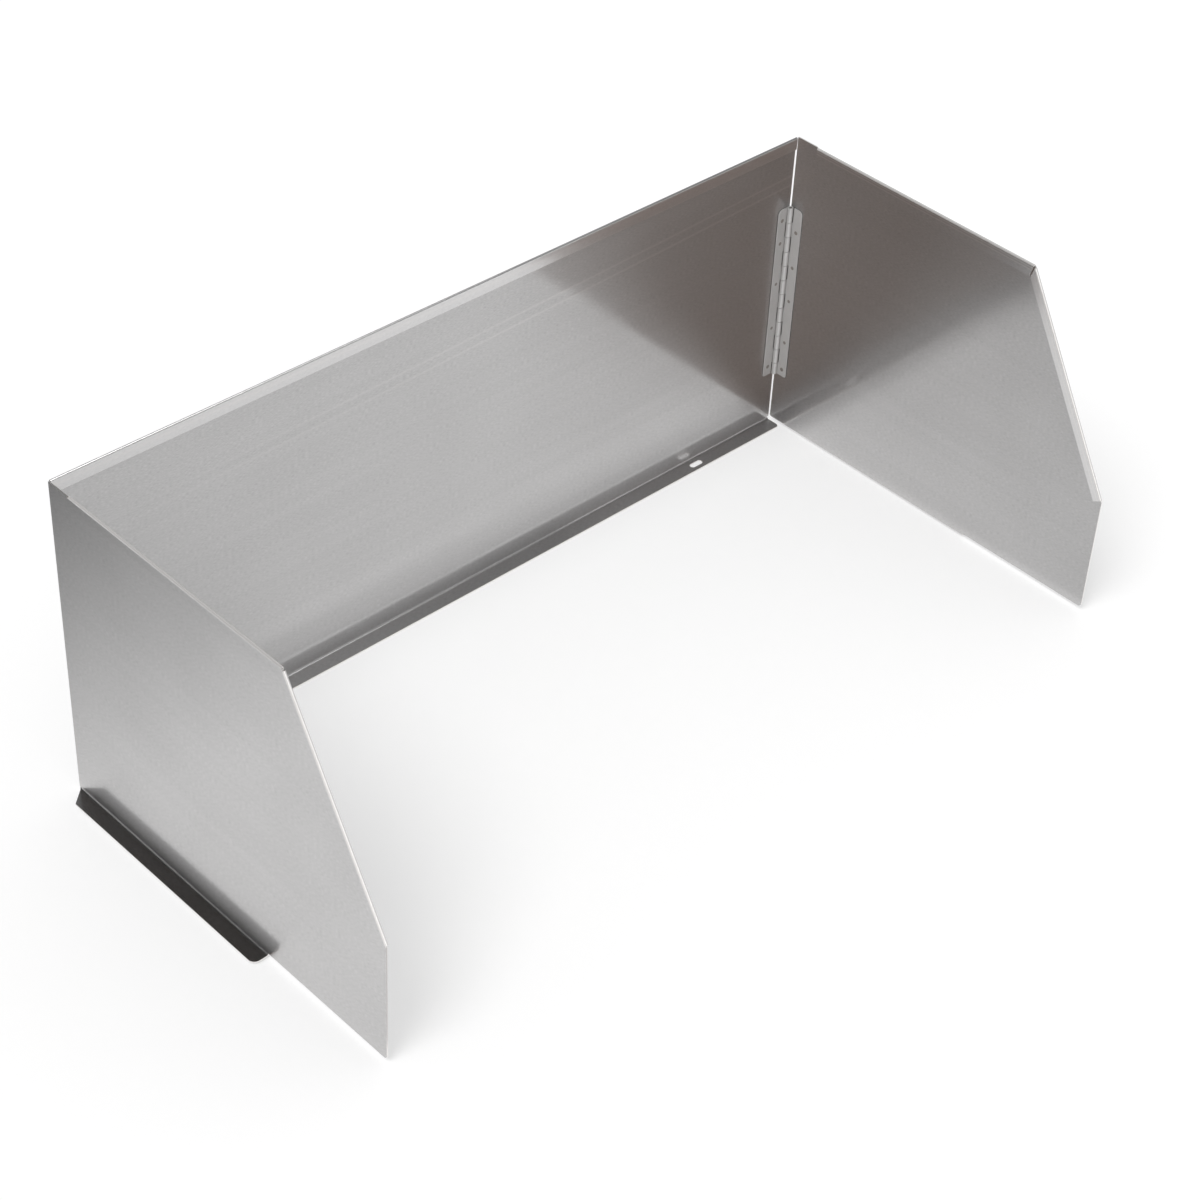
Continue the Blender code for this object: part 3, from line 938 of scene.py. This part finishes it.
def makeWeldTree(s):
    # a flattened ball on each point, its face lifted to a rim at six tenths of its radius
    tree = bpy.data.node_groups.new("spotWeldMarks", "GeometryNodeTree")
    sockets = {
        "places": groupInput(tree, "Places", "NodeSocketGeometry", None),
        "radius": groupInput(tree, "Mark Radius", "NodeSocketFloat", s["radius"]),
        "rim": groupInput(tree, "Rim Height", "NodeSocketFloat", s["rim"]),
        "spread": groupInput(tree, "Size Spread", "NodeSocketFloat", s["spread"]),
        "facing": groupInput(tree, "Facing", "NodeSocketRotation", None),
        "seed": groupInput(tree, "Seed", "NodeSocketInt", s["seed"]),
    }
    tree.interface.new_socket("Marks", in_out="OUTPUT", socket_type="NodeSocketGeometry")
    given = addNode(tree, "NodeGroupInput").outputs
    ball = addNode(
        tree,
        "GeometryNodeMeshUVSphere",
        None,
        {"Segments": s["segments"], "Rings": s["rings"], "Radius": 1.0},
    )
    place = addNode(tree, "GeometryNodeInputPosition")
    parts = addNode(tree, "ShaderNodeSeparateXYZ", None, {0: place.outputs[0]})
    fromMiddle = addNode(
        tree,
        "ShaderNodeVectorMath",
        {"operation": "MULTIPLY"},
        {0: place.outputs[0], 1: (1, 1, 0)},
    )
    squared = addNode(
        tree,
        "ShaderNodeVectorMath",
        {"operation": "DOT_PRODUCT"},
        {0: fromMiddle.outputs[0], 1: fromMiddle.outputs[0]},
    ).outputs["Value"]
    falling = addNode(tree, "ShaderNodeMath", {"operation": "SUBTRACT"}, {0: 1.0, 1: squared})
    rounding = addNode(
        tree, "ShaderNodeMath", {"operation": "MULTIPLY"}, {0: squared, 1: falling.outputs[0]}
    )
    # the rounding is a quarter at the most, so the rim comes to one
    profile = addNode(
        tree,
        "ShaderNodeMath",
        {"operation": "MULTIPLY_ADD"},
        {0: rounding.outputs[0], 1: 4 * (1 - s["dish"]), 2: s["dish"]},
    )
    lifted = addNode(
        tree,
        "ShaderNodeMath",
        {"operation": "MULTIPLY"},
        {0: profile.outputs[0], 1: parts.outputs[2]},
    )
    perRadius = addNode(
        tree,
        "ShaderNodeMath",
        {"operation": "DIVIDE"},
        {0: given["Rim Height"], 1: given["Mark Radius"]},
    )
    height = addNode(
        tree,
        "ShaderNodeMath",
        {"operation": "MULTIPLY"},
        {0: lifted.outputs[0], 1: perRadius.outputs[0]},
    )
    shaped = addNode(
        tree,
        "ShaderNodeCombineXYZ",
        None,
        {"X": parts.outputs[0], "Y": parts.outputs[1], "Z": height.outputs[0]},
    )
    mark = addNode(
        tree,
        "GeometryNodeSetPosition",
        None,
        {"Geometry": ball.outputs["Mesh"], "Position": shaped.outputs[0]},
    )
    smallest = addNode(
        tree, "ShaderNodeMath", {"operation": "SUBTRACT"}, {0: 1.0, 1: given["Size Spread"]}
    )
    largest = addNode(
        tree, "ShaderNodeMath", {"operation": "ADD"}, {0: 1.0, 1: given["Size Spread"]}
    )
    size = addNode(
        tree,
        "FunctionNodeRandomValue",
        {"data_type": "FLOAT"},
        {2: smallest.outputs[0], 3: largest.outputs[0], "Seed": given["Seed"]},
    )
    scale = addNode(
        tree,
        "ShaderNodeMath",
        {"operation": "MULTIPLY"},
        {0: size.outputs[1], 1: given["Mark Radius"]},
    )
    marks = addNode(
        tree,
        "GeometryNodeInstanceOnPoints",
        None,
        {
            "Points": given["Places"],
            "Instance": mark.outputs["Geometry"],
            "Rotation": given["Facing"],
            "Scale": scale.outputs[0],
        },
    )
    real = addNode(
        tree, "GeometryNodeRealizeInstances", None, {"Geometry": marks.outputs["Instances"]}
    )
    smooth = addNode(
        tree, "GeometryNodeSetShadeSmooth", None, {"Geometry": real.outputs["Geometry"]}
    )
    finished = addNode(
        tree,
        "GeometryNodeSetMaterial",
        None,
        {"Geometry": smooth.outputs["Geometry"], "Material": weldSteel},
    )
    addNode(tree, "NodeGroupOutput", None, {"Marks": finished.outputs["Geometry"]})
    return tree, sockets


def makeWelds(tree, sockets, name, places, facing, body, s):
    mesh = bpy.data.meshes.new(name)
    mesh.from_pydata(places, [], [])
    piece = newObject(name, mesh)
    nodes = piece.modifiers.new("spot welds", "NODES")
    nodes.node_group = tree
    for key in ("radius", "rim", "spread", "seed"):
        nodes[sockets[key]] = s[key]
    nodes[sockets["facing"]] = Vector(facing).to_track_quat("Z", "Y").to_euler()
    bakeModifiers(piece)
    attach(piece, body)


weldTree, weldSockets = makeWeldTree(weldMarks)
for hand, outwards in (("left", -1), ("right", 1)):
    pinLow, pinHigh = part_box(f"{hand}_hinge_pin")
    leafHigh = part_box(f"{hand}_hinge_back_leaf")[1]
    axisX, axisY = (pinLow[0] + pinHigh[0]) / 2, (pinLow[1] + pinHigh[1]) / 2
    seat = leafHigh[1] - weldMarks["leafSheet"] - axisY
    backX = axisX - outwards * weldMarks["fromAxis"]
    places = [(backX, axisY + seat, leafHigh[2] - below) for below in weldMarks["backLeaf"]]
    backName = f"{hand}HingeBackWelds"
    makeWelds(weldTree, weldSockets, backName, places, (0, -1, 0), "back", weldMarks)
    sideX, sideY = axisX + outwards * seat, axisY - weldMarks["fromAxis"]
    places = [(sideX, sideY, leafHigh[2] - below) for below in weldMarks["sideLeaf"]]
    sideName, facing = f"{hand}HingeSideWelds", (-outwards, 0, 0)
    makeWelds(weldTree, weldSockets, sideName, places, facing, f"{hand}_side", weldMarks)
print("weld marks placed")

# the studio: white paper, soft light from the upper left, and a dark tent that only the
# steel mirrors

studio = {
    "paperSize": 60,
    "paperBelow": 0.0002,
    "paperHex": "#BCBCBC",
    "paperGlow": 0.54,
    "seenPaperHex": "#D2D2D2",  # as the camera sees it, so that the shadows show
    "seenGlow": 0.40,
    "deepFrom": 1.5,  # between the first mirroring and the second
    "deepShadePaperHex": "#958780",  # painted shade: the paper darker where steel mirrors steel
    "deepShadeHex": "#E6C0A4",
    "deepShadeGlow": 0.09,
    "ambient": 0.65,
    "sunStrength": 1.30,
    "sunFrom": (-0.62, -0.10, 1.0),
    "sunAngle": 28,  # degrees
    "tentRadius": 2.2,
    "tentSegments": 64,
    "tentRings": 32,
    "tentDark": 0.030,
    "floorShadeHex": "#202020",
    "flagAbove": 0.001,
}
# painted shade on the floor that only the steel mirrors, dark sheets behind the guard, inside it
# and along its foot: along its line, each is clear as far as sheer says and full from solid on
flags = {
    "rearFlag": {
        "x": (-2.1, -0.335),
        "y": (0.08, 1.3),
        "along": (0, 1, 0),
        "sheer": 0.115,
        "solid": 0.58,
    },
    "innerFlag": {
        "x": (-0.32, 0.32),
        "y": (-0.45, 0.14),
        "along": (0.545, 0.838, 0),
        "sheer": 0.474,
        "solid": -1.62,
    },
    "footFlag": {
        "x": (-0.33, 0.33),
        "y": (0.10, 0.142),
        "along": (0, 1, 0),
        "sheer": 0.122,
        "solid": 0.168,
    },
}
# soft openings in the tent: direction, sharpness, strength
tentLobes = [
    ((0.25, 0.00, 0.97), 40, 4.00),  # overhead
    ((-0.70, 0.70, -0.30), 22, 6.00),  # behind on the left, its middle below the floor
    ((0.70, -0.70, 0.05), 8, 0.70),  # in front on the right, low
    ((0.70, 0.70, 0.20), 3, 0.40),  # behind on the right, wide
    ((-0.35, -0.90, 0.25), 8, 2.00),  # in front on the left
]


def shownDirectly(tree, path):
    # one for what the camera sees, straight, mirrored or through glass, and zero for the rays
    # that only carry light
    straight = addNode(
        tree,
        "ShaderNodeMath",
        {"operation": "ADD"},
        {0: path.outputs["Is Camera Ray"], 1: path.outputs["Is Glossy Ray"]},
    )
    return addNode(
        tree,
        "ShaderNodeMath",
        {"operation": "ADD", "use_clamp": True},
        {0: straight.outputs[0], 1: path.outputs["Is Transmission Ray"]},
    ).outputs[0]


def makeWorld(s):
    world = bpy.data.worlds.new("studio")
    world.use_nodes = True
    bpy.context.scene.world = world
    tree = world.node_tree
    tree.nodes.clear()
    shown = shownDirectly(tree, addNode(tree, "ShaderNodeLightPath"))
    strength = addNode(
        tree,
        "ShaderNodeMapRange",
        None,
        {"Value": shown, "To Min": s["ambient"], "To Max": 1.0},
    )
    background = addNode(
        tree,
        "ShaderNodeBackground",
        None,
        {"Color": white, "Strength": strength.outputs["Result"]},
    )
    addNode(tree, "ShaderNodeOutputWorld", None, {"Surface": background.outputs[0]})


def makeFloor(s):
    material, tree = emptyMaterial("white paper sweep")
    path = addNode(tree, "ShaderNodeLightPath")
    shown, seen = shownDirectly(tree, path), path.outputs["Is Camera Ray"]
    # painted shade: steel that mirrors steel shows the paper dim and warm, as between two walls
    # in a dark room
    deep = addNode(
        tree,
        "ShaderNodeMath",
        {"operation": "GREATER_THAN"},
        {0: path.outputs["Glossy Depth"], 1: s["deepFrom"]},
    ).outputs[0]
    mirroredGlow = addNode(
        tree,
        "ShaderNodeMapRange",
        None,
        {"Value": deep, "To Min": s["paperGlow"], "To Max": s["deepShadeGlow"]},
    ).outputs["Result"]
    strength = addNode(
        tree,
        "ShaderNodeMapRange",
        None,
        {"Value": seen, "To Min": mirroredGlow, "To Max": s["seenGlow"]},
    ).outputs["Result"]
    glow = addNode(
        tree, "ShaderNodeMath", {"operation": "MULTIPLY"}, {0: shown, 1: strength}
    )
    hue = addNode(
        tree,
        "ShaderNodeMix",
        {"data_type": "RGBA"},
        {"Factor": deep, "A": white, "B": linearColour(s["deepShadeHex"])},
    ).outputs["Result"]
    mirroredShade = addNode(
        tree,
        "ShaderNodeMix",
        {"data_type": "RGBA"},
        {"Factor": deep, "A": linearColour(s["paperHex"]), "B": linearColour(s["deepShadePaperHex"])},
    ).outputs["Result"]
    shade = addNode(
        tree,
        "ShaderNodeMix",
        {"data_type": "RGBA"},
        {"Factor": seen, "A": mirroredShade, "B": linearColour(s["seenPaperHex"])},
    ).outputs["Result"]
    paper = addNode(tree, "ShaderNodeBsdfDiffuse", None, {"Color": shade})
    light = addNode(
        tree, "ShaderNodeEmission", None, {"Color": hue, "Strength": glow.outputs[0]}
    )
    both = addNode(
        tree, "ShaderNodeAddShader", None, {0: paper.outputs[0], 1: light.outputs[0]}
    )
    addNode(tree, "ShaderNodeOutputMaterial", None, {"Surface": both.outputs[0]})
    material.cycles.emission_sampling = "NONE"
    height = cadLow[2] - s["paperBelow"]
    bpy.ops.mesh.primitive_plane_add(size=s["paperSize"], location=(0, 0, height))
    floor = bpy.context.object
    floor.name = "paperSweep"
    floor.data.materials.append(material)


def hideFromAllButGloss(thing):
    thing.visible_camera = False
    thing.visible_diffuse = False
    thing.visible_transmission = False
    thing.visible_volume_scatter = False
    thing.visible_shadow = False


def makeTent(s, lobes):
    material, tree = emptyMaterial("dark tent cloth")
    place = addNode(tree, "ShaderNodeTexCoord")
    towards = addNode(
        tree,
        "ShaderNodeVectorMath",
        {"operation": "NORMALIZE"},
        {0: place.outputs["Object"]},
    ).outputs["Vector"]
    total = s["tentDark"]
    for direction, sharpness, strength in lobes:
        facing = addNode(
            tree,
            "ShaderNodeVectorMath",
            {"operation": "DOT_PRODUCT"},
            {0: towards, 1: Vector(direction).normalized()},
        ).outputs["Value"]
        facing = addNode(
            tree, "ShaderNodeMath", {"operation": "MAXIMUM"}, {0: facing, 1: 0.0}
        ).outputs["Value"]
        shaped = addNode(
            tree, "ShaderNodeMath", {"operation": "POWER"}, {0: facing, 1: sharpness}
        ).outputs["Value"]
        total = addNode(
            tree,
            "ShaderNodeMath",
            {"operation": "MULTIPLY_ADD"},
            {0: shaped, 1: strength, 2: total},
        ).outputs["Value"]
    cloth = addNode(tree, "ShaderNodeEmission", None, {"Color": white, "Strength": total})
    addNode(tree, "ShaderNodeOutputMaterial", None, {"Surface": cloth.outputs[0]})
    material.cycles.emission_sampling = "NONE"
    bpy.ops.mesh.primitive_uv_sphere_add(
        segments=s["tentSegments"],
        ring_count=s["tentRings"],
        radius=s["tentRadius"],
        location=(0, 0, 0),
    )
    tent = bpy.context.object
    tent.name = "darkTent"
    tent.data.materials.append(material)
    hideFromAllButGloss(tent)


def makeFlag(name, flag, s):
    material, tree = emptyMaterial("graded flag cloth")
    place = addNode(tree, "ShaderNodeTexCoord")
    reach = addNode(
        tree,
        "ShaderNodeVectorMath",
        {"operation": "DOT_PRODUCT"},
        {0: place.outputs["Object"], 1: flag["along"]},
    ).outputs["Value"]
    dense = addNode(
        tree,
        "ShaderNodeMapRange",
        {"clamp": True},
        {"Value": reach, "From Min": flag["sheer"], "From Max": flag["solid"]},
    )
    sheer = addNode(tree, "ShaderNodeBsdfTransparent")
    # the dark of the sheet is painted shade
    cloth = addNode(tree, "ShaderNodeEmission", None, {"Color": linearColour(s["floorShadeHex"])})
    graded = addNode(
        tree,
        "ShaderNodeMixShader",
        None,
        {0: dense.outputs["Result"], 1: sheer.outputs[0], 2: cloth.outputs[0]},
    )
    addNode(tree, "ShaderNodeOutputMaterial", None, {"Surface": graded.outputs[0]})
    material.cycles.emission_sampling = "NONE"
    (left, right), (front, rear) = flag["x"], flag["y"]
    corners = [(left, front), (right, front), (right, rear), (left, rear)]
    mesh = bpy.data.meshes.new(name)
    mesh.from_pydata([(x, y, s["flagAbove"]) for x, y in corners], [], [range(len(corners))])
    mesh.materials.append(material)
    hideFromAllButGloss(newObject(name, mesh))


def makeSun(s):
    light = bpy.data.lights.new("windowLight", "SUN")
    light.energy = s["sunStrength"]
    light.angle = math.radians(s["sunAngle"])
    lamp = newObject("windowLight", light)
    lamp.matrix_world = Vector(s["sunFrom"]).to_track_quat("Z", "Y").to_matrix().to_4x4()
    lamp.visible_glossy = False


makeWorld(studio)
makeFloor(studio)
makeTent(studio, tentLobes)
for name, flag in flags.items():
    makeFlag(name, flag, studio)
makeSun(studio)
bpy.context.scene.view_settings.view_transform = "Standard"
print("studio lit")
